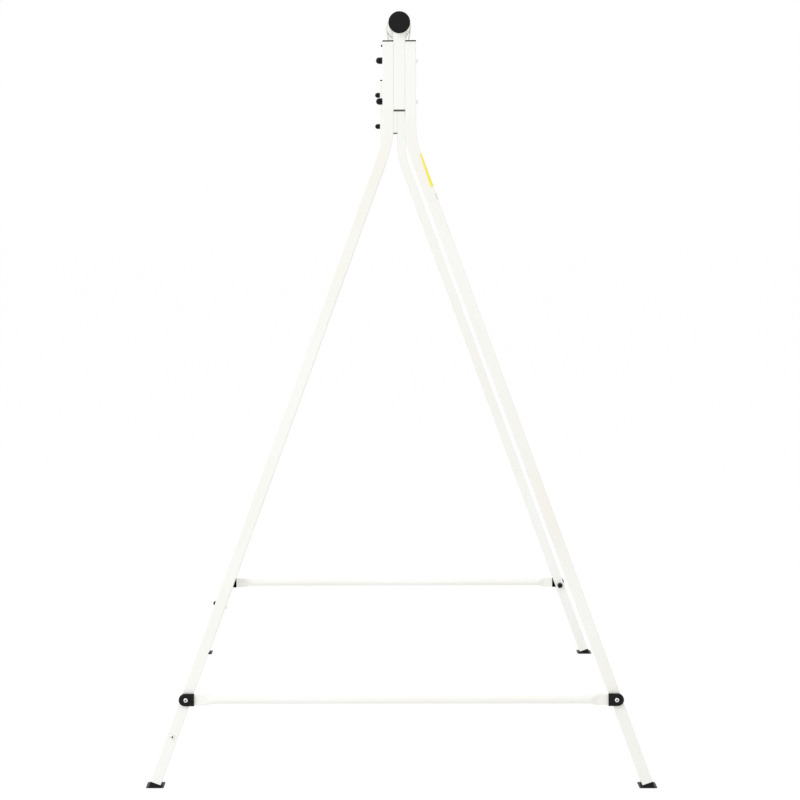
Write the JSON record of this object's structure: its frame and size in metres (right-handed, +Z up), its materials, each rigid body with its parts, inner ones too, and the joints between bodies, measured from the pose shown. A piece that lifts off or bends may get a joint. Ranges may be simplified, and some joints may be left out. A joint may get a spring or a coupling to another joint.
{
  "type": "swing frame",
  "caption": "Free-standing steel swing frame: round crossbar bolted between pairs of bent rectangular legs with low braces, plastic feet and turning strap hangers.",
  "frame": {"origin": "on the floor, in the middle of the object's footprint, straight below the middle of the crossbar", "axes": "+Z up; the crossbar runs along Y with the picture's near pair of legs at -Y; +X is the right of the picture"},
  "size_m": [1.2012, 1.6, 1.8048],
  "materials": {
    "white_powder_coat": "satin white powder coat on steel tube",
    "black_plastic": "moulded black plastic, lightly textured",
    "white_nylon": "moulded white nylon",
    "zinc_plated_steel": "bright zinc plate",
    "galvanised_strap": "zinc-plated pressed strap",
    "yellow_film": "bare yellow adhesive film",
    "silver_film": "bare pale adhesive film"
  },
  "bodies": {
    "frame": {"brace_bolt_front_left": "zinc_plated_steel", "brace_bolt_front_right": "zinc_plated_steel", "brace_bolt_rear_left": "zinc_plated_steel", "brace_bolt_rear_right": "zinc_plated_steel", "brace_cap_nut_front_left": "black_plastic", "brace_cap_nut_front_right": "black_plastic", "brace_cap_nut_rear_left": "black_plastic", "brace_cap_nut_rear_right": "black_plastic", "brace_cover_front_left": "black_plastic", "brace_cover_front_right": "black_plastic", "brace_cover_rear_left": "black_plastic", "brace_cover_rear_right": "black_plastic", "brace_front": "white_powder_coat", "brace_rear": "white_powder_coat", "crossbar": "white_powder_coat", "crossbar_plug_front": "black_plastic", "crossbar_plug_rear": "black_plastic", "drop_post_front": "white_powder_coat", "drop_post_plug_front": "black_plastic", "drop_post_plug_rear": "black_plastic", "drop_post_rear": "white_powder_coat", "foot_front_left": "black_plastic", "foot_front_right": "black_plastic", "foot_rear_left": "black_plastic", "foot_rear_right": "black_plastic", "hanger_liner_front": "white_nylon", "hanger_liner_rear": "white_nylon", "leg_bolt_rear_left": "zinc_plated_steel", "leg_cap_nut_rear_left": "black_plastic", "leg_front_left": "white_powder_coat", "leg_front_right": "white_powder_coat", "leg_plug_front_left": "black_plastic", "leg_plug_front_right": "black_plastic", "leg_plug_rear_left": "black_plastic", "leg_plug_rear_right": "black_plastic", "leg_rear_left": "white_powder_coat", "leg_rear_right": "white_powder_coat", "leg_screw_front_left": "zinc_plated_steel", "plug_rivet_front_left": "black_plastic", "post_bolt_front_lower": "zinc_plated_steel", "post_bolt_front_upper": "zinc_plated_steel", "post_bolt_rear_lower": "zinc_plated_steel", "post_bolt_rear_upper": "zinc_plated_steel", "post_cap_nut_front_lower": "black_plastic", "post_cap_nut_front_upper": "black_plastic", "post_cap_nut_rear_lower": "black_plastic", "post_cap_nut_rear_upper": "black_plastic", "silver_sticker": "silver_film", "yellow_sticker": "yellow_film"},
    "hanger_front": {"hanger_nut_front": "zinc_plated_steel", "hanger_pin_front": "zinc_plated_steel", "hanger_sleeve_front": "zinc_plated_steel", "hanger_strap_front": "galvanised_strap"},
    "hanger_rear": {"hanger_nut_rear": "zinc_plated_steel", "hanger_pin_rear": "zinc_plated_steel", "hanger_sleeve_rear": "zinc_plated_steel", "hanger_strap_rear": "galvanised_strap"}
  },
  "joints": [
    {"name": "hanger_front_turn", "type": "hinge", "parent": "frame", "child": "hanger_front", "pos_m": [0, -0.64, 1.7755], "axis": [0, 1, 0], "range_deg": [-90, 90]},
    {"name": "hanger_rear_turn", "type": "hinge", "parent": "frame", "child": "hanger_rear", "pos_m": [0, 0.64, 1.7755], "axis": [0, 1, 0], "range_deg": [-90, 90]}
  ]
}
